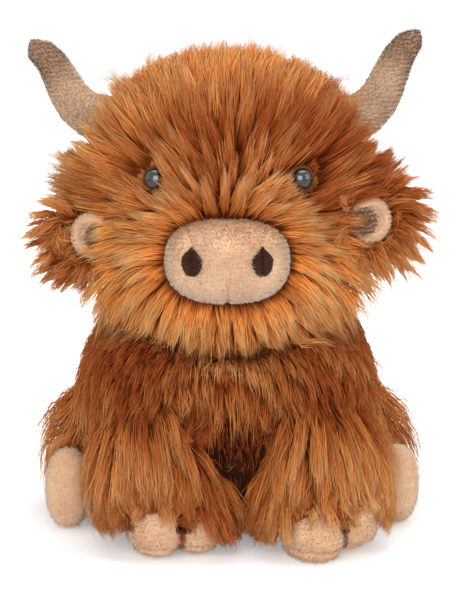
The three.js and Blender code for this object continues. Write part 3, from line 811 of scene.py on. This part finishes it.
NAP_SOURCE = mm(0, -104, 178)
EYES = {"left": mm(41, -79.4, 212), "right": mm(-39.5, -80, 212)}
EARS = {"left": mm(67, -56, 188), "right": mm(-67, -56, 178)}
SHOULDERS = {side: mm(way * 48, -44, 84) for side, way in SIDES}
HIPS = {side: mm(way * 63, 12, 39.5) for side, way in SIDES}
HEMS = {"left": mm(52, -80, 17), "right": mm(-33, -80, 17)}
ANKLES = {"left": mm(86, -22, 29), "right": mm(-80, -33, 29)}
HORNS = {side: mm(way * 62, -18, 239) for side, way in SIDES}
MUZZLE, MUZZLE_HALF = mm(0, -88, 168), mm(35, 26, 24)
NECK = mm(0, -10, 118)
NECK_RADIUS, EAR_RADIUS, SHOULDER_RADIUS, HIP_RADIUS = mm(34, 10, 30, 40)
SEAT_SHARE = 1.1  # a skin runs this much past the round seat of a joint
GAP = (6, 46, 15, 24)  # the hollow between the forelegs, drawn in and darkened with painted shade: x, z and half sizes, mm
CUPS = {"left": mm(81, -62.5, 187), "right": mm(-77, -62.5, 178)}
CUP_HALF = mm(11.5, 12.5)
CUP_THICK, CUP_DEPTH = mm(4.4, 3.6)
CUP_OPENING = 0.72
HOLLOWS = {side: CUPS[side] - mm(way * 4, 2.5, 1) for side, way in SIDES}
SOLE = 7 * MM
FRONT = -30 * MM  # ahead of this, a place is on the toy's front
TOES = [(foot, toe) for foot in ("fore", "hind") for toe in ("inner", "outer")]
# No strand leaves this box, 14 mm outside the solids'
ROOM = np.array(cad_box) + np.array([mm(-14, -14, 0.5), mm(14, 14, 14)])
NOSTRIL_X = 19.3
NOSTRIL_HALF = mm(5.7, 8.1)
HORN_TIPS = {"left": mm(114, -18, 290), "right": mm(-117, -18, 285)}


def covered(part, end=""):
    """The solids of a stuffed part."""
    return [f"{part}_cover{end}", f"{part}_stuffing{end}"]


BODY_NODES = covered("body") + ["seat_pellet_bag"]
TAIL_NODES = ["tail_cord", "tail_tuft"]
head_skin = skin_of(
    "head_skin", covered("head") + covered("muzzle"), 3.4 * MM, 4 * MM,
    seats=[(NECK, NECK_RADIUS)] + [(EARS[side], EAR_RADIUS) for side, _ in SIDES],
)
body_skin = skin_of(
    "body_skin", BODY_NODES, 3.6 * MM, 4 * MM,
    seats=[(SHOULDERS[side], SHOULDER_RADIUS) for side, _ in SIDES]
    + [(HIPS[side], HIP_RADIUS) for side, _ in SIDES],
)
places = places_of(body_skin)
move_in(body_skin, 18 * MM * bump_at(places, *GAP) * (places[:, 1] < FRONT))
neck_skin = skin_of("neck_skin", covered("neck"), 3 * MM, 0.5 * MM)
muzzle = skin_of("muzzle", covered("muzzle"), 1.2 * MM, 0.9 * MM, 4)
furred = {}
pads = {}
for side, way in SIDES:
    for leg in ("foreleg", "hindleg"):
        name, nodes = f"{leg}_{side}_skin", covered(leg, "_" + side)
        furred[f"{leg}_{side}"] = skin_of(name, nodes, 3.2 * MM, 2.5 * MM)
    furred["ear_" + side] = skin_of(f"ear_{side}_back", [f"ear_back_{side}"], 1.2 * MM, 0.6 * MM, 3)
    places = places_of(furred["ear_" + side])
    behind = np.linalg.norm((places - CUPS[side])[:, [0, 2]] / CUP_HALF, axis=1) < 1.12
    places[behind, 1] = np.maximum(places[behind, 1], CUPS[side][1] + 2.5 * MM)
    put(furred["ear_" + side], places)
    pads["ear_" + side] = ear_cup(f"ear_{side}_lining", CUPS[side], CUP_HALF, 8 * way)
    horn = skin_of("horn_" + side, covered("horn", "_" + side), 1.4 * MM, 1.3 * MM, 6)
    pads["horn_" + side] = horn
    move_in(horn, 0.9 * MM * (1 - rise(near(places_of(horn), HORN_TIPS[side]), 5 * MM, 16 * MM)))
    for foot, toe in TOES:
        name, nodes = f"{foot}_{toe}_toe_{side}", [f"{foot}_toe_{toe}_{side}"]
        pads[f"{foot}_{toe}_{side}"] = skin_of(name, nodes, 1.4 * MM, 1 * MM, 5)
tail_skin = skin_of("tail_skin", TAIL_NODES, 1.4 * MM, 1.5 * MM)

dress(head_skin, "head", covered("head"), "fur", under_coat, fill=0.8)
dress(body_skin, "torso", BODY_NODES, "fur", under_coat, painted_shade_gap_coat, fill=0.8)
dress(neck_skin, "neck", covered("neck"), "fur", under_coat, fill=0.8)
dress(muzzle, "head", covered("muzzle"), "plush", beige, fill=0.8)
dress(tail_skin, "tail", TAIL_NODES, "fur", under_coat, fill=0.8)
# The hollow between the forelegs takes the near-black backing: painted shade.
second_material(body_skin, lambda p: (p[:, 1] < FRONT) & (bump_at(p, *GAP) > 0.25))
for side, _ in SIDES:
    for leg in ("foreleg", "hindleg"):
        nodes = covered(leg, "_" + side)
        dress(furred[f"{leg}_{side}"], f"{leg}_{side}", nodes, "fur", under_coat, fill=0.7)
    ear, lining = "ear_" + side, pads["ear_" + side]
    dress(furred[ear], ear, ["ear_back_" + side], "fur", under_coat, fill=0.7)
    dress(lining, ear, ["ear_lining_" + side], "plush", beige, ear_hollow_brown_and_shade, fill=0.7)
    # The hollow takes the dark second material: its brown, deepened with painted shade.
    second_material(lining, lambda p: near(p, HOLLOWS[side]) < 8.4 * MM)
    nodes = covered("horn", "_" + side)
    dress(pads["horn_" + side], "head", nodes, "horn_plush", horn_cloth, fill=0.7)
    for foot, toe in TOES:
        pad, node_name = pads[f"{foot}_{toe}_{side}"], f"{foot}_toe_{toe}_{side}"
        dress(pad, f"{foot}leg_{side}", [node_name], "plush", beige, fill=0.7)

# Seams drawn in
DARTS = [((0.5, 167), (0.5, 138)), ((-19.5, 179), (-23.5, 188)), ((19.5, 179), (23.5, 188))]


def muzzle_seam(p):
    return np.exp(-((seam_distance(p, DARTS) / (1.2 * MM)) ** 2)) * (p[:, 1] < -90 * MM)


def by_nostril(p):
    return sum(bump_at(p, way * NOSTRIL_X, 170, 7, 9.5) for _, way in SIDES)


places = places_of(muzzle)
dents = 1.6 * muzzle_seam(places) + 2.6 * by_nostril(places)
move_in(muzzle, dents * MM * (places[:, 1] < -90 * MM))
muzzle_front = Cover(muzzle)

# Nostrils and eyes
nostrils = {}
EYE_TURN, EYE_TILT = 25.1, 6.4
RING_SIZES = dict(
    major_radius=6.6 * MM, minor_radius=1.1 * MM, major_segments=48, minor_segments=12
)
DOME_SIZES = dict(radius=MM, segments=64, ring_count=32)
for side, way in SIDES:
    nostril = nostril_patch(f"nostril_{side}_patch", mm(way * NOSTRIL_X, -112, 170))
    dress(nostril, "head", [f"nostril_{side}"], "dark_plush", dark_cloth)
    nostrils[side] = nostril

    out = unit(mm(way * 0.424, -0.899, 0.112))
    for part, add, lift, scale, sizes, material in (
        ("ring", bpy.ops.mesh.primitive_torus_add, 0.6, (1, 1, 0.9), RING_SIZES, eye_rim),
        ("dome", bpy.ops.mesh.primitive_uv_sphere_add, 0.8, (6.1, 6.1, 5.2), DOME_SIZES, eye_gloss),
    ):
        centre = EYES[side] + out * lift * MM
        piece = shaped(f"eye_{side}_{part}", add, centre, scale, EYE_TURN * way, EYE_TILT, **sizes)
        dress(piece, "head", [f"eye_{side}"], "eye_plastic", material)
    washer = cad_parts[f"eye_washer_{side}"]
    washer.data.materials.clear()
    washer.data.materials.append(washer_plastic)


# Long coat of the head: it is combed away from the muzzle, back over the crown and down behind
def muzzle_depth(p):
    """Below 1 inside the muzzle's form."""
    return ((np.abs(p - MUZZLE) / MUZZLE_HALF) ** 2.5).sum(1) ** 0.4


def head_nap(p, n):
    out = unit(along(unit(p - NAP_SOURCE), n))
    behind = rise(p[:, 1], -25 * MM, 30 * MM)[:, None]
    low = 1 - by_height(p, 130, 200)
    return along(out * (1 - behind) + DOWN * (behind * 1.3 + 0.45 * low[:, None]), n)


def head_mask(p, n):
    """Fur everywhere but under the muzzle, the eyes, the horns, the ears and in the neck, and
    closer round the muzzle, where the skin is sewn to it."""
    depth = muzzle_depth(p)
    keep = 1 + 3 * (1 - rise(depth, 1.0, 1.35)) * (p[:, 1] < -50 * MM)
    keep[(depth < 0.93) | ((near(p, NECK) < 38 * MM) & (n[:, 2] < -0.8))] = 0
    for side, way in SIDES:
        keep[near(p, EYES[side]) < 7 * MM] = 0
        away = p - HORNS[side]
        keep[(np.hypot(away[:, 1], away[:, 2]) < 12.5 * MM) & (way * away[:, 0] > 0)] = 0
        keep[near(p, EARS[side]) < 12 * MM] = 0
    return keep


head_walls = Cover(head_skin, muzzle, pads["horn_left"], pads["horn_right"], body_skin)
head_surface = Cover(head_skin)
EAR_OPEN = {"left": CUPS["left"] + mm(4.5, 0, 0), "right": CUPS["right"] + mm(-10, 0, -1)}


def head_trim(guides, lock, long):
    """Shortens strands that would cross an eye, lie along a horn or cover an ear's opening."""
    shares = np.linspace(0, 1, GUIDE_STEPS + 1)
    for side, way in SIDES:
        out = unit(mm(way * 0.42, -0.89, 0.1))
        away = guides - EYES[side] - mm(way * 1.2, 0, 0)
        flat = away - (away @ out)[..., None] * out
        over_eye = (np.linalg.norm(flat, axis=2) < 7.6 * MM) & (away @ out > -6 * MM)
        away = guides - HORNS[side]
        round_horn = np.hypot(away[..., 1], away[..., 2] - 0.12 * way * away[..., 0])
        over_horn = (way * away[..., 0] > 12 * MM) & (round_horn < 21 * MM)
        away = guides - EAR_OPEN[side]
        over_ear = (np.hypot(away[..., 0], away[..., 2]) < 8.5 * MM) & (guides[..., 1] < -52 * MM)
        for crossing in (over_eye, over_horn, over_ear):
            first = np.where(crossing.any(1), shares[crossing.argmax(1)], 2.0)
            reach = first[lock]
            cut = reach < 1.5
            long[cut] = np.minimum(long[cut], np.maximum(reach[cut] - 0.02, 0.12))
    return long


def head_tone(p):
    cheek = 1 - by_height(p, 168, 200)
    crown = by_height(p, 236, 266)
    tone = 0.37 + 0.58 * cheek + 0.58 * crown
    # The first bump darkens the forehead's middle below the crown: painted shade.
    tone -= 0.24 * bump_at(p, 0, 226, 44, 14) + 0.36 * bump_at(p, 62, 218, 24, 20)
    tone += 0.52 * bump_at(p, -62, 222, 26, 26) + 0.1 * bump_at(p, -52, 165, 30, 30)
    # Darker just above the muzzle's top edge, where the coat's roots lie in shade: painted shade.
    return tone - 0.32 * bump_at(p, 0, 196, 30, 10) * cheek


def at_rim(p):
    """1 at the muzzle's seam, 0 away from it."""
    return 1 - rise(muzzle_depth(p), 1.0, 1.5)


def at_side(p):
    return by_side(p, 40, 72)


def at_temple(p):
    """1 beside the horns, where the coat is short."""
    return by_side(p, 48, 66) * by_height(p, 206, 226)


def head_lift(p):
    side = 16 * at_side(p) * (p[:, 1] < 0) * (1 - at_temple(p))
    over_ear = 14 * bump_at(p, 60, 188, 14, 16) * (p[:, 1] < FRONT)
    top = 12 * by_height(p, 240, 268)
    return 26 + 30 * at_rim(p) + side + over_ear + top - 8 * at_temple(p)


def at_chin(p):
    """1 under the muzzle, where the coat hangs as a beard."""
    return (1 - by_height(p, 128, 152)) * (1 - rise(p[:, 1], -40 * MM, -10 * MM))


def head_length(p):
    long = 18 * rise(near(p, NAP_SOURCE), 34 * MM, 72 * MM) + 9 * at_chin(p)
    return (26 + long - 14 * at_temple(p)) * MM


head_coat = dict(
    body="head", skin=head_surface, walls=head_walls, nap=head_nap, tone=head_tone,
    trim=head_trim,
    weight=lambda p: 0.01 + 0.07 * (1 - by_height(p, 140, 215)) + 0.05 * at_chin(p),
    cling=lambda p: 0.1
    + 0.3 * (1 - at_side(p)) * (1 - at_rim(p))
    + 0.2 * rise(p[:, 1], FRONT, 10 * MM),
    lift=head_lift, length=head_length, sway=0.12, wave=0.35 * MM, clump=0.6, spacing=5.4 * MM,
)
LEVELS = (236 * MM, 172 * MM)  # above the first is the crown, below the second the beard


def part_of_head(p, n):
    """0 crown, 1 and 2 the face's sides, 3 the cheeks and beard, 4 the nape."""
    part = np.where(p[:, 0] >= 0, 1, 2)
    part[p[:, 2] < LEVELS[1]] = 3
    part[p[:, 1] >= -15 * MM] = 4
    part[p[:, 2] > LEVELS[0]] = 0
    return part


for number, (name, strands) in enumerate(
    [("crown", 9600), ("face_left", 8400), ("face_right", 8400), ("beard", 11200), ("nape", 5000)]
):
    grow(
        "head_fur_" + name, mask=lambda p, n: head_mask(p, n) * (part_of_head(p, n) == number),
        strands=strands, width=(0.46 if name == "nape" else 0.34) * MM,
        strays=0.0 if name == "crown" else 0.04, **head_coat,
    )

# Coat of the body
body_surface = Cover(body_skin)
lower_coat = dict(sway=0.14, wave=0.4 * MM, clump=0.52)
leg_skins = [furred[f"{leg}_{side}"] for leg in ("foreleg", "hindleg") for side, _ in SIDES]
leg_surfaces = Cover(*leg_skins)
body_walls = Cover(body_skin, *leg_skins)


def body_nap(p, n):
    out = unit(p * np.array((1, 1, 0)))
    top = rise(n[:, 2], 0.3, 0.8)[:, None]
    return along(DOWN * (1 - top) + out * (0.3 + 1.4 * top), n)


def at_collar(p):
    """1 on the body's top, where the coat falls over the edge from under the head."""
    return by_height(p, 76, 96)


def body_mask(p, n):
    keep = np.ones(len(p))
    keep[(p[:, 2] < 6 * MM) & (n[:, 2] < -0.5)] = 0
    keep[(np.hypot(p[:, 0], p[:, 1] + 10 * MM) < 30 * MM) & (p[:, 2] > 88 * MM)] = 0
    keep[near(p, mm(0, 74, 50)) < 9 * MM] = 0
    keep[leg_surfaces.covers(p, n, 14 * MM)] = 0
    # Fewer strands in the hollow between the forelegs let its painted-shade backing show through.
    return keep * (1 + 2.2 * at_collar(p)) * (1 - 0.6 * bump_at(p, *GAP) * (p[:, 1] < FRONT))


def between_legs(p):
    """1 in the gap between the forelegs, where the coat is shorter and darkened as painted shade.
    """
    return (1 - by_height(p, 62, 92)) * (p[:, 1] < FRONT)


def body_tone(p):
    # Darker between the forelegs, and at the collar's sides under the head and beard: painted
    # shade.
    collar = 0.34 * at_collar(p) * by_side(p, 16, 40)
    return 0.38 + 0.16 * by_side(p, 50, 80) - 0.5 * between_legs(p) - collar


for name, sides_of, strands in (
    ("front", lambda p: p[:, 1] < 5 * MM, 11000),
    ("back_left", lambda p: (p[:, 1] >= 5 * MM) & (p[:, 0] >= 0), 5000),
    ("back_right", lambda p: (p[:, 1] >= 5 * MM) & (p[:, 0] < 0), 5000),
):
    grow(
        "body_fur_" + name, "torso", body_surface, body_walls,
        mask=lambda p, n: body_mask(p, n) * sides_of(p), nap=body_nap, strands=strands,
        width=(0.34 if name == "front" else 0.46) * MM, tone=body_tone,
        length=lambda p: (42 - 12 * at_collar(p) - 28 * between_legs(p)) * MM,
        weight=lambda p: 0.05 + 0.1 * at_collar(p), cling=lambda p: 0.25 + 0.1 * at_collar(p),
        lift=lambda p: 38 + 14 * at_collar(p), lost=16 * MM, spacing=5.6 * MM, **lower_coat,
    )

# Coats of the legs, the ears and the tail
for side, way in SIDES:
    leg = furred["foreleg_" + side]
    axis = unit(HEMS[side] - SHOULDERS[side])

    def foreleg_nap(p, n):
        from_axis = p - SHOULDERS[side]
        out = from_axis - (from_axis @ axis)[:, None] * axis
        flare = 0.3 - 0.24 * np.clip(way * unit(out)[:, :1], -1, 1)
        return along(axis * 0.4 + DOWN * 0.75 + flare * unit(out), n)

    def beside_axis(p, toward, reach):
        """1 on the outer side of the leg's middle line, or with toward -1 on the inner side."""
        middle = SHOULDERS[side][0] + (SHOULDERS[side][2] - p[:, 2]) * (axis[0] / -axis[2])
        return rise(toward * way * (p[:, 0] - middle), 4 * MM, reach)

    def foreleg_inner(p):
        """1 on the side that looks at the other leg."""
        return beside_axis(p, -1, 24 * MM)

    def foreleg_outer(p):
        """1 low on the side that looks away from the other leg."""
        return beside_axis(p, 1, 22 * MM) * (1 - by_height(p, 44, 64))

    def foreleg_mask(p, n):
        keep = 1 + 0.6 * (p[:, 1] < -60 * MM) + 0.8 * ((p[:, 1] < -70 * MM) & (p[:, 2] < 48 * MM))
        keep[(p[:, 2] < 24 * MM) & (n[:, 2] < -0.6)] = 0
        keep[body_surface.nearest(p)[2] < 0.5 * MM] = 0
        return keep

    grow(
        f"foreleg_fur_{side}", "foreleg_" + side, Cover(leg),
        Cover(leg, body_skin, pads[f"fore_inner_{side}"], pads[f"fore_outer_{side}"]),
        foreleg_mask, foreleg_nap, 10800, width=0.34 * MM, lost=12 * MM,
        # Darker high up under the head, low down by the hoof and on the side facing the other leg:
        # painted shade.
        tone=lambda p: 0.25
        + 0.05 * way
        + 0.36 * by_height(p, 26, 62)
        - 0.52 * by_height(p, 64, 92)
        + 0.04 * (1 + way) * (1 - by_height(p, 40, 70))
        - 0.14 * foreleg_inner(p),
        weight=lambda p: 0.07 + 0.06 * foreleg_inner(p),
        cling=lambda p: 0.2 + 0.2 * foreleg_inner(p) + 0.2 * foreleg_outer(p),
        lift=lambda p: 34 - 8 * foreleg_inner(p) - 18 * foreleg_outer(p), **lower_coat,
        spacing=5.4 * MM,
        length=lambda p: np.clip(
            p[:, 2] * 0.9 + 1 * MM + 13 * MM * foreleg_inner(p) - 5 * MM * foreleg_outer(p),
            17 * MM, 50 * MM,
        ),
        floor=10 * MM,
    )

    leg = furred["hindleg_" + side]
    axis_h = unit(ANKLES[side] - HIPS[side])

    def hindleg_nap(p, n):
        return along(axis_h * 0.55 + DOWN * 0.7 + mm(way * 300, 0, 0), n)

    def hindleg_mask(p, n):
        keep = np.ones(len(p))
        keep[(p[:, 2] < 6 * MM) & (n[:, 2] < -0.6)] = 0
        keep[body_surface.nearest(p)[2] < 0.5 * MM] = 0
        return keep

    grow(
        f"hindleg_fur_{side}", "hindleg_" + side, Cover(leg),
        Cover(
            leg, body_skin, furred["foreleg_" + side], pads[f"hind_inner_{side}"],
            pads[f"hind_outer_{side}"],
        ),
        hindleg_mask, hindleg_nap, 6200, width=0.36 * MM, tone=0.5, weight=0.08, cling=0.25,
        lift=42, **lower_coat, spacing=5.4 * MM,
        length=lambda p: np.clip(0.9 * near(p, ANKLES[side]) - 8 * MM, 9 * MM, 38 * MM),
        floor=3 * MM,
    )

    ear = furred["ear_" + side]

    def ear_nap(p, n):
        ray = (p - CUPS[side] + mm(way * 4, 0, 3)) * np.array((1, 0.3, 1))
        return along(unit(ray) + np.array((way * 0.2, 0.1, -0.05)), n)

    def ear_mask(p, n):
        away = (p - CUPS[side])[:, [0, 2]] / CUP_HALF
        keep = 1 + 1.5 * (np.abs(n[:, 1]) < 0.6)
        keep[(np.linalg.norm(away, axis=1) < 1.0) & (p[:, 1] < CUPS[side][1] + 6 * MM)] = 0
        keep[way * p[:, 0] < 66 * MM] = 0
        return keep

    grow(
        f"ear_fur_{side}", "ear_" + side, Cover(ear), Cover(ear, head_skin, pads["ear_" + side]),
        ear_mask, ear_nap, 3600, width=0.36 * MM, spacing=3.4 * MM, tone=0.44, weight=0.055,
        cling=0.0, lift=24,
        length=lambda p: (22 + 3 * way + 7 * rise(way * p[:, 0], 74 * MM, 100 * MM)) * MM,
        height=(0, 0.8 * MM), sway=0.16, wave=0.3 * MM, clump=0.54,
    )

grow(
    "tail_fur", "tail", Cover(tail_skin), Cover(tail_skin, body_skin),
    lambda p, n: (p[:, 1] > 76 * MM) * 1.0, lambda p, n: along(DOWN + np.array((0, 0.4, 0)), n),
    1900, width=0.44 * MM, spacing=4 * MM, tone=0.45, length=24 * MM, height=(1 * MM, 3 * MM),
)

# Short pile of the muzzle, the horns, the toes and the ears' linings


def by_sole(p, wide):
    """1 at the crease between a toe and its sole, which is this many millimetres wide."""
    return np.exp(-(((p[:, 2] - SOLE) / (wide * MM)) ** 2))


nostril_walls = Cover(*nostrils.values())


def muzzle_mask(p, n):
    keep = 1.0 * (p[:, 1] < -82 * MM)
    keep[nostril_walls.nearest(p)[2] < 0.3 * MM] = 0
    return keep * (1 - 0.5 * muzzle_seam(p))


pile(
    "muzzle_pile", "head", [muzzle], short_pile, 15000,
    nap=lambda p, n: (p - MUZZLE) * np.array((1, 0, 1)) + mm(0, 0, -9),
    # Lighter low down, as if lit from the floor below: painted light. Darker in the seams' creases:
    # painted shade. Darker and tanner towards the top.
    tone=lambda p: 0.76
    - 0.4 * muzzle_seam(p)
    - 0.62 * by_height(p, 170, 188)
    + 0.24 * (1 - by_height(p, 148, 164)),
    mask=muzzle_mask, length=lambda p: (2.2 - 1.2 * muzzle_seam(p)) * MM, width=0.6 * MM,
)
for side, way in SIDES:
    pile(
        f"nostril_{side}_pile", "head", [nostrils[side]], dark_pile, 900,
        nap=lambda p, n: DOWN + 0 * p,
        # Darker down the fold in its middle: painted shade.
        tone=lambda p: 0.05
        + 0.6 * rise(np.abs(p[:, 0] - way * NOSTRIL_X * MM), 0.4 * MM, 3.4 * MM),
        mask=lambda p, n: (n[:, 1] < -0.2) * 1.0, length=1.3 * MM,
    )
    tip = HORN_TIPS[side]
    pile(
        f"horn_{side}_pile", "head", [pads["horn_" + side]], horn_pile, 11000,
        nap=lambda p, n: tip - p,
        tone=lambda p: 0.06
        + 0.86 * rise(near(p, tip), 14 * MM, 40 * MM)
        - 0.13 * (1 + way) * (1 - rise(near(p, tip), 48 * MM, 62 * MM))
        + 0.36 * wander(p * np.array((1, 1, 0.4)), 10 * MM, 21)[:, 0],
        mask=lambda p, n: (way * p[:, 0] > 62 * MM) * 1.0, length=2.1 * MM, lean=1.5,
        width=0.86 * MM,
    )
    pile(
        f"ear_{side}_lining_pile", "ear_" + side, [pads["ear_" + side]], ear_pile, 2600,
        nap=lambda p, n: (p - CUPS[side]) * np.array((1, 0, 1)) + 0.2 * DOWN * MM,
        # Darker in the hollow: the lining's brown there, deepened with painted shade.
        tone=lambda p: 0.22 + 0.7 * rise(near(p, HOLLOWS[side]), 5.5 * MM, 10.5 * MM),
        mask=lambda p, n: (p[:, 1] < CUPS[side][1] + 1 * MM) * 1.0, length=1.7 * MM, lean=0.7,
        width=0.7 * MM,
    )
    for foot, strands in (("fore", 6800), ("hind", 5200)):
        fore = foot == "fore"
        toes = [pads[f"{foot}_{toe}_{side}"] for toe in ("inner", "outer")]
        for toe in toes if fore else ():
            places = places_of(toe)
            pucker = 1 + 0.35 * np.sin(places[:, 0] * 1300 + 2 * np.sin(places[:, 1] * 500))
            move_in(toe, 1.5 * MM * by_sole(places, 1.3) * pucker)
        pile(
            f"{foot}_toes_{side}_pile", f"{foot}leg_{side}", toes, short_pile, strands,
            nap=lambda p, n: DOWN + 0.3 * n,
            # Front toes darker in the crease above the sole and high up under the leg's coat:
            # painted shade.
            tone=lambda p: (0.54 if fore else 1.0)
            - fore * 0.6 * by_sole(p, 1.5)
            - fore * 0.3 * by_height(p, 16, 28),
            mask=lambda p, n: 1.0 * ((n[:, 2] > -0.8) & (p[:, 2] < 52 * MM)),
            length=lambda p: 2.1 * MM - 1.3 * MM * fore * by_sole(p, 1.4), width=0.7 * MM,
        )


bpy.context.scene.view_settings.view_transform = "Standard"
